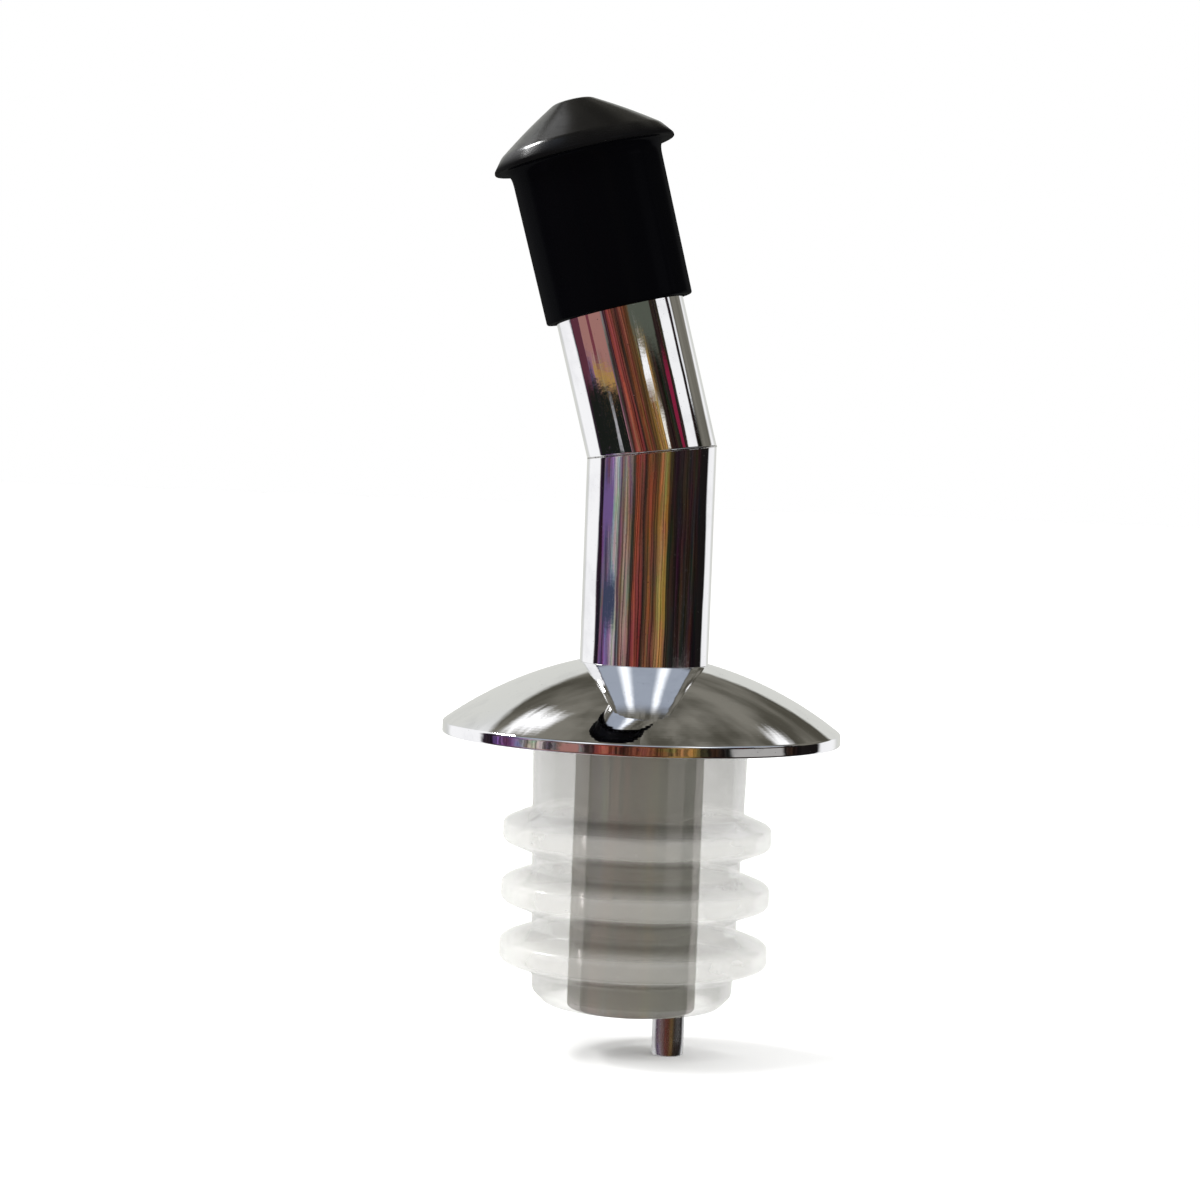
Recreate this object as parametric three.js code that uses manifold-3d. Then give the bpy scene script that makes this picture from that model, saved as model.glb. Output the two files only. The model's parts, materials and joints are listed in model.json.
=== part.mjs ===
// Liquor pour spout: a chromed tube with one mitred bend, a domed drip collar,
// a ribbed stopper for the bottle's mouth, a breather tube and a slip-on dust cap.
// Millimetres, +Z up. The origin is on the stem's axis, in the plane of the
// collar's underside. The nozzle leans towards -X.

import * as THREE from "three";
import { mergeVertices } from "three/addons/utils/BufferGeometryUtils.js";
import Module from "manifold-3d";

// ---- Driving dimensions -------------------------------------------------

// Facets round each turned piece: a multiple of 4 keeps the full diameter on X and Y.
const FACETS = 48;
const CORNER_STEPS = 3;
const CUT_MARGIN = 1;

// Chromed tube, in two lengths joined at the mitre.
const TUBE_DIAMETER = 10.0;
const TUBE_WALL = 0.65;
const BEND_DEGREES = 15;
const BEND_HEIGHT = 22.2;
const MITRE_GAP = 0.3;
const NOZZLE_LENGTH = 23.4;
const TIP_SLANT_DEGREES = 25;
const STEM_PROUD = 0.4;

// Drip collar: pressed sheet with a rim band and a neck turned down round the stem.
const COLLAR_DIAMETER = 31.0;
const COLLAR_SHEET = 0.7;
const COLLAR_RIM = 0.86;
const COLLAR_CREST = 5.8;
const COLLAR_CROWN_RADIUS = 29;
const COLLAR_LIP_ROUND = 0.25;
const COLLAR_NECK_FOOT = 3.2;
const CROWN_STEPS = 10;

// Stopper: soft plug with sealing rings. Its body narrows downwards, by the taper
// on the diameter for each millimetre.
const STOPPER_DIAMETER = 16.9;
const STOPPER_TAPER = 0.06;
const STOPPER_TAIL = 2.4;
const STOPPER_LEAD_IN = 0.9;
const RING_DIAMETER = 21.0;
const RING_ROOT_HEIGHT = 3.4;
const RING_LAND = 1.5;
const RING_CORNER = 0.35;
const RING_PITCH = 4.62;
const RING_COUNT = 3;
const RING_FIRST_DROP = 7.5;

// Breather tube and its holder.
const BREATHER_DIAMETER = 2.5;
const BREATHER_WALL = 0.35;
const BREATHER_PROUD = 3.6;
const BREATHER_RECESS = 1.5;
const BREATHER_BEND_RADIUS = 8;
const BREATHER_FACETS = 12;
const BREATHER_STEPS = 34;
const HOLDER_LENGTH = 5.0;
const HOLDER_WALL = 0.5;
const HOLDER_EYE_WALL = 0.4;
const HOLDER_INSET = 0.3;

// Dust cap: sleeve under a conical hat, lengths measured from its mouth.
const CAP_WALL = 0.66;
const CAP_DRAFT = 0.12;
const CAP_MOUTH_CHAMFER = 0.15;
const CAP_BORE_DEPTH = 12.5;
const CAP_BRIM_DROP = 0.4;
const CAP_BRIM_OVERHANG = 1.22;
const CAP_BRIM_EDGE = 0.25;
const CAP_FILLET_RISE = 1.1;
const CAP_FILLET_RUN = 0.8;
const CAP_CROWN_INSET = 0.75;
const CAP_CROWN_RISE = 1.2;
const CAP_PEAK_RISE = 4.4;
const CAP_PEAK_ROUND = 1.4;
const CAP_CONE_BULGE = 0.12;
const CAP_CONE_STEPS = 6;

// Clearances.
const PUSH_FIT = 0.05;
const CAP_CLEARANCE = 0.1;
const CAP_SEAT_GAP = 0.4;
const STOPPER_CROWN_GAP = 0.75;
const BREATHER_WALL_GAP = 0.1;
const BREATHER_EYE_CLEARANCE = 0.12;

// ---- Values worked out from them ----------------------------------------

const tubeOuter = TUBE_DIAMETER / 2;
const tubeInner = tubeOuter - TUBE_WALL;
const sleeveBore = tubeOuter + PUSH_FIT;
const bend = THREE.MathUtils.degToRad(BEND_DEGREES);
const mitreSlope = Math.tan(bend / 2);
const tipSlope = Math.tan(THREE.MathUtils.degToRad(TIP_SLANT_DEGREES));
const lastRing = -RING_FIRST_DROP - RING_PITCH * (RING_COUNT - 1);
const stopperFoot = lastRing - RING_ROOT_HEIGHT / 2 - STOPPER_TAIL;
const stemFoot = stopperFoot - STEM_PROUD;
const breatherRadius = BREATHER_DIAMETER / 2;
const breatherOffset = tubeInner - BREATHER_WALL_GAP - breatherRadius;
const capMouth = NOZZLE_LENGTH + CAP_SEAT_GAP - CAP_BORE_DEPTH;

// ---- Helpers ------------------------------------------------------------

const wasm = await Module();
wasm.setup();

// A profile of [radius, height] points turned about the Z axis.
function turned(points, facets = FACETS) {
  const profile = points.map(([radius, height]) => new THREE.Vector2(radius, height));
  return new THREE.LatheGeometry(profile, facets).rotateX(Math.PI / 2);
}

// The same, for a profile whose last point joins its first.
function turnedRing(points) {
  return turned([...points, points[0]]);
}

// Points along a rounded corner between the two places where it leaves the straight sides.
function rounded(start, corner, end) {
  const [from, control, to] = [start, corner, end].map((place) => new THREE.Vector2(...place));
  const curve = new THREE.QuadraticBezierCurve(from, control, to);
  return curve.getPoints(CORNER_STEPS).map((place) => place.toArray());
}

function cylinder(radius, low, high, centreX = 0) {
  return turned([[0, low], [radius, low], [radius, high], [0, high]]).translate(centreX, 0, 0);
}

// Tilts the end face that lies above or below a height, so that it climbs by slope along +X.
function slantEnd(geometry, isEnd, slope) {
  const place = geometry.getAttribute("position");
  for (let i = 0; i < place.count; i += 1) {
    if (isEnd(place.getZ(i))) {
      place.setZ(i, place.getZ(i) + slope * place.getX(i));
    }
  }
  geometry.computeVertexNormals();
  return geometry;
}

function toSolid(geometry) {
  const bare = geometry.clone();
  bare.deleteAttribute("normal");
  bare.deleteAttribute("uv");
  const merged = mergeVertices(bare);
  const vertProperties = new Float32Array(merged.getAttribute("position").array);
  const triVerts = new Uint32Array(merged.index.array);
  return new wasm.Manifold(new wasm.Mesh({ numProp: 3, vertProperties, triVerts }));
}

function fromSolid(solid) {
  const mesh = solid.getMesh();
  const geometry = new THREE.BufferGeometry();
  geometry.setAttribute("position", new THREE.BufferAttribute(mesh.vertProperties, 3));
  geometry.setIndex(new THREE.BufferAttribute(mesh.triVerts, 1));
  geometry.computeVertexNormals();
  return geometry;
}

function piece(name, geometry, material) {
  const mesh = new THREE.Mesh(geometry, material);
  mesh.name = name;
  return mesh;
}

// ---- Tube ---------------------------------------------------------------

function tubeWall(low, high) {
  return turnedRing([
    [tubeInner, low],
    [tubeOuter, low],
    [tubeOuter, high],
    [tubeInner, high],
  ]);
}

// The stem's top end lies in the plane that halves the bend.
function stemTube() {
  const top = BEND_HEIGHT - MITRE_GAP / 2;
  return slantEnd(tubeWall(stemFoot, top), (z) => z > 0, mitreSlope);
}

// The nozzle in its own frame: mitre centre at the origin, axis along +Z.
// The longest side of its slanted tip is on the side it pours from, -X.
function nozzleTube() {
  const middle = NOZZLE_LENGTH / 2;
  const tip = NOZZLE_LENGTH - tubeOuter * tipSlope;
  const wall = tubeWall(MITRE_GAP / 2, tip);
  slantEnd(wall, (z) => z < middle, -mitreSlope);
  return slantEnd(wall, (z) => z > middle, -tipSlope);
}

// ---- Drip collar --------------------------------------------------------

// Centre of the arc that runs from the crest beside the stem to the top of the rim band.
function crownCentre() {
  const crest = new THREE.Vector2(sleeveBore + COLLAR_LIP_ROUND, COLLAR_CREST);
  const rim = new THREE.Vector2(COLLAR_DIAMETER / 2, COLLAR_RIM);
  const half = crest.distanceTo(rim) / 2;
  const along = rim.clone().sub(crest).normalize();
  const inward = new THREE.Vector2(along.y, -along.x);
  const depth = Math.sqrt(COLLAR_CROWN_RADIUS ** 2 - half ** 2);
  return crest.add(rim).multiplyScalar(0.5).addScaledVector(inward, depth);
}

// Height of the crown, or of its underside at a depth, at a distance from the stem's axis.
function crownHeight(depth, radius) {
  const centre = crownCentre();
  const reach = (COLLAR_CROWN_RADIUS - depth) ** 2 - (radius - centre.x) ** 2;
  return centre.y + Math.sqrt(reach);
}

function crownPoints(depth, from, to) {
  return Array.from({ length: CROWN_STEPS + 1 }, (_, i) => {
    const radius = THREE.MathUtils.lerp(from, to, i / CROWN_STEPS);
    return [radius, crownHeight(depth, radius)];
  });
}

function dripCollar() {
  const rim = COLLAR_DIAMETER / 2;
  const lip = sleeveBore + COLLAR_LIP_ROUND;
  const neck = sleeveBore + COLLAR_SHEET;
  return turnedRing([
    [sleeveBore, COLLAR_NECK_FOOT],
    [neck, COLLAR_NECK_FOOT],
    ...crownPoints(COLLAR_SHEET, neck, rim - COLLAR_SHEET),
    [rim - COLLAR_SHEET, 0],
    [rim, 0],
    ...crownPoints(0, rim, lip).slice(0, -1),
    ...rounded(
      [lip, COLLAR_CREST],
      [sleeveBore, COLLAR_CREST],
      [sleeveBore, COLLAR_CREST - COLLAR_LIP_ROUND],
    ),
  ]);
}

// ---- Stopper ------------------------------------------------------------

function stopperRadius(height) {
  return (STOPPER_DIAMETER + STOPPER_TAPER * Math.min(height, 0)) / 2;
}

// Half a ring's outline, from its root on the body to its outer land.
function ringFlank(centre, side) {
  const foot = centre + side * (RING_ROOT_HEIGHT / 2);
  const root = new THREE.Vector2(stopperRadius(foot), foot);
  const corner = new THREE.Vector2(RING_DIAMETER / 2, centre + side * (RING_LAND / 2));
  const before = root.clone().sub(corner).setLength(RING_CORNER).add(corner);
  const after = corner.clone().setY(corner.y - side * RING_CORNER);
  return [root.toArray(), ...rounded(before.toArray(), corner.toArray(), after.toArray())];
}

// The rings are counted from the lowest up.
function stopperRing(index) {
  const centre = lastRing + RING_PITCH * index;
  return [...ringFlank(centre, -1), ...ringFlank(centre, 1).reverse()];
}

function stopper() {
  const body = stopperRadius(0);
  const foot = stopperRadius(stopperFoot);
  const top = COLLAR_NECK_FOOT - PUSH_FIT;
  const rings = Array.from({ length: RING_COUNT }, (_, i) => stopperRing(i)).flat();
  return turnedRing([
    [sleeveBore, stopperFoot],
    [foot - STOPPER_LEAD_IN, stopperFoot],
    [foot, stopperFoot + STOPPER_LEAD_IN],
    ...rings,
    [body, 0],
    [body, crownHeight(COLLAR_SHEET, body) - STOPPER_CROWN_GAP],
    [sleeveBore + COLLAR_SHEET, top],
    [sleeveBore, top],
  ]);
}

// ---- Breather -----------------------------------------------------------

// Up the stem beside its wall, round the bend, and up the nozzle to below the tip.
function breatherRoute() {
  const lean = new THREE.Vector3(-Math.sin(bend), 0, Math.cos(bend));
  const corner = new THREE.Vector3(breatherOffset, 0, BEND_HEIGHT + breatherOffset * mitreSlope);
  const mouth = NOZZLE_LENGTH - (tubeOuter + breatherOffset) * tipSlope - BREATHER_RECESS;
  const rise = mouth + breatherOffset * mitreSlope;
  const foot = new THREE.Vector3(breatherOffset, 0, stemFoot - BREATHER_PROUD);
  const cut = BREATHER_BEND_RADIUS * mitreSlope;
  const before = corner.clone().setZ(corner.z - cut);
  const after = corner.clone().addScaledVector(lean, cut);
  const end = corner.clone().addScaledVector(lean, rise);
  const route = new THREE.CurvePath();
  route.add(new THREE.LineCurve3(foot, before));
  route.add(new THREE.QuadraticBezierCurve3(before, corner, after));
  route.add(new THREE.LineCurve3(after, end));
  return route;
}

function breatherTube() {
  const section = new THREE.Shape().absarc(0, 0, breatherRadius, 0, 2 * Math.PI);
  const bore = new THREE.Path().absarc(0, 0, breatherRadius - BREATHER_WALL, 0, 2 * Math.PI);
  section.holes.push(bore);
  return new THREE.ExtrudeGeometry(section, {
    curveSegments: BREATHER_FACETS / 2,
    steps: BREATHER_STEPS,
    bevelEnabled: false,
    extrudePath: breatherRoute(),
  });
}

// A split ring pushed into the stem's foot, with an open eye that holds the breather to the wall.
function breatherHolder() {
  const low = stemFoot + HOLDER_INSET;
  const high = low + HOLDER_LENGTH;
  const outer = tubeInner - PUSH_FIT;
  const inner = outer - HOLDER_WALL;
  const eyeBore = breatherRadius + BREATHER_EYE_CLEARANCE;
  const ring = toSolid(turnedRing([[inner, low], [outer, low], [outer, high], [inner, high]]));
  const eye = toSolid(cylinder(eyeBore + HOLDER_EYE_WALL, low, high, breatherOffset));
  const room = toSolid(cylinder(outer, low, high));
  const cut = toSolid(cylinder(eyeBore, low - CUT_MARGIN, high + CUT_MARGIN, breatherOffset));
  return fromSolid(ring.add(eye.intersect(room)).subtract(cut));
}

// ---- Dust cap -----------------------------------------------------------

// The hat's side from the crown's edge to the peak: a straight cone, bulged a little.
function hatCone(edge, low, peak) {
  return Array.from({ length: CAP_CONE_STEPS + 1 }, (_, i) => {
    const share = i / CAP_CONE_STEPS;
    const bulge = CAP_CONE_BULGE * Math.sin(Math.PI * share);
    const radius = THREE.MathUtils.lerp(edge, CAP_PEAK_ROUND, share);
    return [radius, THREE.MathUtils.lerp(low, peak, share) + bulge];
  });
}

function dustCap() {
  const bore = tubeOuter + CAP_CLEARANCE;
  const mouth = bore + CAP_WALL;
  const shoulder = mouth + CAP_DRAFT;
  const brim = shoulder + CAP_BRIM_OVERHANG;
  const under = CAP_BORE_DEPTH - CAP_BRIM_DROP;
  const peak = under + CAP_PEAK_RISE;
  return turned([
    [0, CAP_BORE_DEPTH],
    [bore, CAP_BORE_DEPTH],
    [bore, 0],
    [mouth - CAP_MOUTH_CHAMFER, 0],
    [mouth, CAP_MOUTH_CHAMFER],
    ...rounded(
      [shoulder, under - CAP_FILLET_RISE],
      [shoulder, under],
      [shoulder + CAP_FILLET_RUN, under],
    ),
    [brim, under],
    [brim, under + CAP_BRIM_EDGE],
    ...hatCone(brim - CAP_CROWN_INSET, under + CAP_CROWN_RISE, peak),
    [0, peak],
  ]);
}

// ---- Materials ----------------------------------------------------------

const chrome = { color: 0xd9dadd, roughness: 0.04, metalness: 1 };
const blackRubber = { color: 0x0b0b0d, roughness: 0.42, metalness: 0 };
const milkyPlastic = {
  color: 0xd9dcd2,
  roughness: 0.3,
  metalness: 0,
  transparent: true,
  opacity: 0.75,
};
const steel = { color: 0xb9babd, roughness: 0.22, metalness: 1 };
const whitePlastic = { color: 0xe4e4de, roughness: 0.45, metalness: 0 };

const finish = (values) => new THREE.MeshStandardMaterial(values);

// ---- Assembly -----------------------------------------------------------

const cap = piece("dust_cap", dustCap(), finish(blackRubber));
cap.position.z = capMouth;

const nozzle = new THREE.Group();
nozzle.position.z = BEND_HEIGHT;
nozzle.rotation.y = -bend;
nozzle.add(piece("nozzle_tube", nozzleTube(), finish(chrome)), cap);

const group = new THREE.Group();
group.add(
  piece("stem_tube", stemTube(), finish(chrome)),
  piece("drip_collar", dripCollar(), finish(chrome)),
  piece("stopper", stopper(), finish(milkyPlastic)),
  piece("breather_tube", breatherTube(), finish(steel)),
  piece("breather_holder", breatherHolder(), finish(whitePlastic)),
  nozzle,
);

export default group;
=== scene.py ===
"""Visual model of a liquor pour spout.

A chromed tube with one mitred bend stands in a domed drip collar and a milky ribbed
stopper. A thin steel breather runs up inside it, and a black cap is pushed over its tip.
Sizes are in millimetres and are turned into metres where a mesh is made.
"""

import json
import logging
import math
from dataclasses import dataclass
from enum import Enum
from typing import Any, Optional, Sequence, Union

import bmesh
import bpy
import numpy as np
from mathutils import Matrix, Vector


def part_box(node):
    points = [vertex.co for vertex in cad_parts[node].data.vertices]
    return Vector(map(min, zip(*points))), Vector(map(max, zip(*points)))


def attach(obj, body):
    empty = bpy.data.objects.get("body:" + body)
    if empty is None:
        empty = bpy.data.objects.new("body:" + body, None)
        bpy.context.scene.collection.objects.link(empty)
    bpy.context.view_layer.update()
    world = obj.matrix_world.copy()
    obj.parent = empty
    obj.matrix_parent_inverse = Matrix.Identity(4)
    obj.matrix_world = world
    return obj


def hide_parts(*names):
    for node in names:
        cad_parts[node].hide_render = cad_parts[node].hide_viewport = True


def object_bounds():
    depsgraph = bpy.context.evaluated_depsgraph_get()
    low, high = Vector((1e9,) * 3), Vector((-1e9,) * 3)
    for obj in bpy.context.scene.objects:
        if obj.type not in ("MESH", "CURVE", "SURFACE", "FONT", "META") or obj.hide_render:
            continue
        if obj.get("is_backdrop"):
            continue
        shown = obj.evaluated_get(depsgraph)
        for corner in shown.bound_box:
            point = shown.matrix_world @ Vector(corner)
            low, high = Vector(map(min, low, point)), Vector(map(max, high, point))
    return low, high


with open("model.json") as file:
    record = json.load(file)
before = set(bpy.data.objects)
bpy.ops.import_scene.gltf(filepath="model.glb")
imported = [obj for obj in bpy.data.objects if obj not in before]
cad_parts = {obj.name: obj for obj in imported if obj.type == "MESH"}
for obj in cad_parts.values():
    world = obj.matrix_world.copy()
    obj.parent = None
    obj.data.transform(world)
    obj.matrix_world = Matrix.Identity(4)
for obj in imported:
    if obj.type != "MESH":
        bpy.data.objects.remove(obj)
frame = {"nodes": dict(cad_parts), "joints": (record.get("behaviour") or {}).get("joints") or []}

LOG = logging.getLogger("pour_spout")

MM = 0.001

# How fine the meshes are: segments round, points on a corner, and lengths along a side.
TURN_SEGMENTS = 256
ROUND_STEPS = 7
RUN_STEP = 0.9
SUPPORT = 0.04
SHORT_SIDE = 4 * SUPPORT
NO_LENGTH = 1e-9
WELD = 1e-8

# Bearings in degrees.
HALF_TURN = 180.0
FULL_TURN = 360.0

# Gaps that the frame's parts keep from each other.
MITRE_GAP = 0.3
PUSH_FIT = 0.05
CAP_CLEARANCE = 0.1

Array = np.ndarray
Span = tuple[float, float]
Colour = tuple[float, float, float]
Corner = tuple[float, float, float]
Inputs = dict[Union[str, int], Any]


class Slot(Enum):
    """The record's material slots, by name; no piece here takes its finish from them."""

    CHROME = "chrome_plate"
    RUBBER = "cap_rubber"
    MILKY = "milky_plastic"
    STEEL = "plain_steel"


class Body(Enum):
    """The moving bodies of the frame."""

    SPOUT = "spout"
    CAP = "cap"


# ---- Surfaces ---------------------------------------------------------------


def straight_run(start: Array, end: Array) -> Array:
    """Points strictly between two ends of a straight side.

    One point lies close to each end, so that a rounded corner's shading stays at the
    corner, and the rest divide the side evenly.

    Args:
        start: First end, as radius and height.
        end: Second end.

    Returns:
        An array of points, empty on a short side.
    """
    length = float(np.linalg.norm(end - start))
    if length < SHORT_SIDE:
        return np.empty((0, 2))
    even = np.linspace(0.0, length, int(length // RUN_STEP) + 2)[1:-1]
    stations = np.sort(np.concatenate([[SUPPORT], even, [length - SUPPORT]]))
    return start + (end - start) * (stations / length)[:, None]


def rounded_outline(corners: Sequence[Corner], closed: bool) -> Array:
    """An outline with rounded corners.

    Each corner is cut back along both of its sides by its own round, and the gap is
    bridged by the quadratic curve (1-t)^2 A + 2t(1-t) P + t^2 B through the corner P.

    Args:
        corners: Radius, height and round of each corner.
        closed: Whether the last corner joins the first.

    Returns:
        The outline's points, as rows of radius and height.
    """
    table = np.array(corners, float)
    here, cut = table[:, :2], table[:, 2]
    before, after = np.roll(here, 1, axis=0), np.roll(here, -1, axis=0)
    if not closed:
        before[0], after[-1] = here[0], here[-1]

    def cut_back(other: Array) -> Array:
        """Finds where each round leaves its side, at most half the side away.

        Args:
            other: The corners at the other ends of the sides.

        Returns:
            The places, as rows of radius and height.
        """
        side = other - here
        length = np.maximum(np.linalg.norm(side, axis=1), NO_LENGTH)
        return here + side * (np.minimum(cut, length / 2) / length)[:, None]

    start, end = cut_back(before), cut_back(after)
    share = np.linspace(0.0, 1.0, ROUND_STEPS)[:, None, None]
    curves = (1 - share) ** 2 * start + 2 * share * (1 - share) * here + share**2 * end
    parts = []
    count = len(here)
    for i in range(count):
        parts.append(curves[:, i] if cut[i] > 0 else here[i : i + 1])
        if closed or i < count - 1:
            parts.append(straight_run(end[i], start[(i + 1) % count]))
    return np.concatenate(parts)


def turned(outline: Array) -> Array:
    """A surface of revolution: x = r cos a, y = r sin a, z = h, for each angle and outline point.

    Args:
        outline: Rows of radius and height.

    Returns:
        A grid of points, with one row for each angle.
    """
    angle = np.linspace(0.0, 2 * np.pi, TURN_SEGMENTS, endpoint=False)[:, None]
    radius, height = outline[:, 0], outline[:, 1]
    parts = np.broadcast_arrays(radius * np.cos(angle), radius * np.sin(angle), height)
    return np.stack(parts, axis=-1)


def slanted(grid: Array, ends: Span, slopes: Span) -> Array:
    """Tilts a tube's two ends: z gains x (a (1-t) + b t), with slopes a and b and t from 0 to 1.

    Args:
        grid: Points of an upright tube.
        ends: Heights of its low and high end on the axis.
        slopes: Rise along +X of the low and the high end face.

    Returns:
        The tilted grid.
    """
    share = np.clip((grid[..., 2] - ends[0]) / (ends[1] - ends[0]), 0.0, 1.0)
    tilted = grid.copy()
    tilted[..., 2] += grid[..., 0] * (slopes[0] * (1 - share) + slopes[1] * share)
    return tilted


def build_mesh(name: str, grid: Array, closed_outline: bool) -> bpy.types.Object:
    """Makes a closed, smooth mesh object from a grid whose rows go round.

    Neighbouring grid points are joined by quads, points that share a place at a pole
    are merged, and the faces are turned outwards.

    Args:
        name: The object's name.
        grid: Points in millimetres, as rows, columns and coordinates.
        closed_outline: Whether each row's last point joins its first.

    Returns:
        The object, at the origin.
    """
    rows, columns = grid.shape[:2]
    index = np.arange(rows * columns).reshape(rows, columns)
    index = np.vstack([index, index[:1]])
    if closed_outline:
        index = np.hstack([index, index[:, :1]])
    corners = [index[:-1, :-1], index[1:, :-1], index[1:, 1:], index[:-1, 1:]]
    quads = np.stack(corners, axis=-1).reshape(-1, 4)
    mesh = bpy.data.meshes.new(name)
    mesh.from_pydata((grid.reshape(-1, 3) * MM).tolist(), [], quads.tolist())
    work = bmesh.new()
    work.from_mesh(mesh)
    bmesh.ops.remove_doubles(work, verts=work.verts, dist=WELD)
    bmesh.ops.recalc_face_normals(work, faces=work.faces)
    work.to_mesh(mesh)
    work.free()
    mesh.polygons.foreach_set("use_smooth", np.ones(len(mesh.polygons), bool))
    made = bpy.data.objects.new(name, mesh)
    bpy.context.scene.collection.objects.link(made)
    return made


# ---- Places taken from the frame --------------------------------------------


@dataclass(frozen=True)
class Lean:
    """The leaning frame of the nozzle and its cap, with its origin at the mitre's centre."""

    angle: float
    height: float

    @property
    def half_slope(self) -> float:
        """Slope of the plane that halves the bend."""
        return math.tan(self.angle / 2)

    def place(self, grid: Array) -> Array:
        """Turns points by the bend, (x cos a - z sin a, y, x sin a + z cos a), and lifts them.

        Args:
            grid: Points of the leaning frame.

        Returns:
            The points in the whole object.
        """
        x, y, z = np.moveaxis(grid, -1, 0)
        cosine, sine = math.cos(self.angle), math.sin(self.angle)
        return np.stack([x * cosine - z * sine, y, x * sine + z * cosine + self.height], axis=-1)

    def unplace(self, grid: Array) -> Array:
        """Takes points back into the leaning frame: the other way round from place.

        Args:
            grid: Points of the whole object.

        Returns:
            The points in the leaning frame.
        """
        x, y, z = np.moveaxis(grid, -1, 0)
        z = z - self.height
        cosine, sine = math.cos(self.angle), math.sin(self.angle)
        return np.stack([x * cosine + z * sine, y, z * cosine - x * sine], axis=-1)


@dataclass(frozen=True)
class Reach:
    """How far a part of the frame reaches from its own axis and along it, in millimetres."""

    radius: float
    low: float
    high: float

    @classmethod
    def of(cls, node: str, lean: Optional[Lean] = None) -> "Reach":
        """Measures one part.

        Args:
            node: The part's name in the frame.
            lean: The leaning frame to measure in, or None for the upright one.

        Returns:
            Its largest radius, and its lowest and highest height.
        """
        mesh = frame["nodes"][node].data
        flat = np.empty(len(mesh.vertices) * 3, np.float32)
        mesh.vertices.foreach_get("co", flat)
        points = flat.reshape(-1, 3).astype(float) / MM
        if lean is not None:
            points = lean.unplace(points)
        radius = float(np.hypot(points[:, 0], points[:, 1]).max())
        return cls(radius, float(points[:, 2].min()), float(points[:, 2].max()))


def find_lean() -> Lean:
    """Works the leaning frame out from the cap's sliding axis and the top of the stem.

    Returns:
        The leaning frame.
    """
    axis = frame["joints"][0]["axis"]
    angle = math.atan2(-axis[0], axis[2])
    stem = Reach.of("stem_tube")
    height = stem.high - stem.radius * math.tan(angle / 2) + MITRE_GAP / 2
    return Lean(angle, height)


# ---- Shader building --------------------------------------------------------


@dataclass(frozen=True)
class Pattern:
    """A noise: how many features lie in a unit, its levels of detail, their strength and its stretch."""

    scale: float
    detail: float = 2.0
    rough: float = 0.5
    stretch: Corner = (1.0, 1.0, 1.0)


class Signal:
    """One output of a shader tree, which takes part in sums as a number does."""

    def __init__(self, shader: "Shader", socket: bpy.types.NodeSocket) -> None:
        """Keeps the tree that the output belongs to, and the output itself."""
        self.shader = shader
        self.socket = socket

    def __add__(self, other: "Value") -> "Signal":
        """The sum."""
        return self.shader.math("ADD", self, other)

    def __sub__(self, other: "Value") -> "Signal":
        """The difference."""
        return self.shader.math("SUBTRACT", self, other)

    def __rsub__(self, other: "Value") -> "Signal":
        """The difference the other way round."""
        return self.shader.math("SUBTRACT", other, self)

    def __mul__(self, other: "Value") -> "Signal":
        """The product."""
        return self.shader.math("MULTIPLY", self, other)

    def __truediv__(self, other: "Value") -> "Signal":
        """The quotient."""
        return self.shader.math("DIVIDE", self, other)

    def __neg__(self) -> "Signal":
        """The opposite."""
        return self.shader.math("MULTIPLY", self, -1.0)

    __radd__ = __add__
    __rmul__ = __mul__

    def rise(self, start: float, end: float) -> "Signal":
        """A smooth step.

        Args:
            start: The value up to which it is 0.
            end: The value from which on it is 1.

        Returns:
            The step's height.
        """
        inputs: Inputs = {"Value": self, "From Min": start, "From Max": end}
        settings = {"interpolation_type": "SMOOTHSTEP"}
        return self.shader.node("ShaderNodeMapRange", inputs, settings)

    def between(self, low: float, high: float, soft: float) -> "Signal":
        """1 between two values and 0 outside them, with soft edges."""
        return self.rise(low - soft, low + soft) * (1 - self.rise(high - soft, high + soft))


Value = Union[float, Signal]
Stop = tuple[float, Colour]


def rgba(colour: Any) -> Any:
    """A colour with its alpha added, or a signal as it is."""
    return colour if isinstance(colour, Signal) else (*colour, 1.0)


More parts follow.
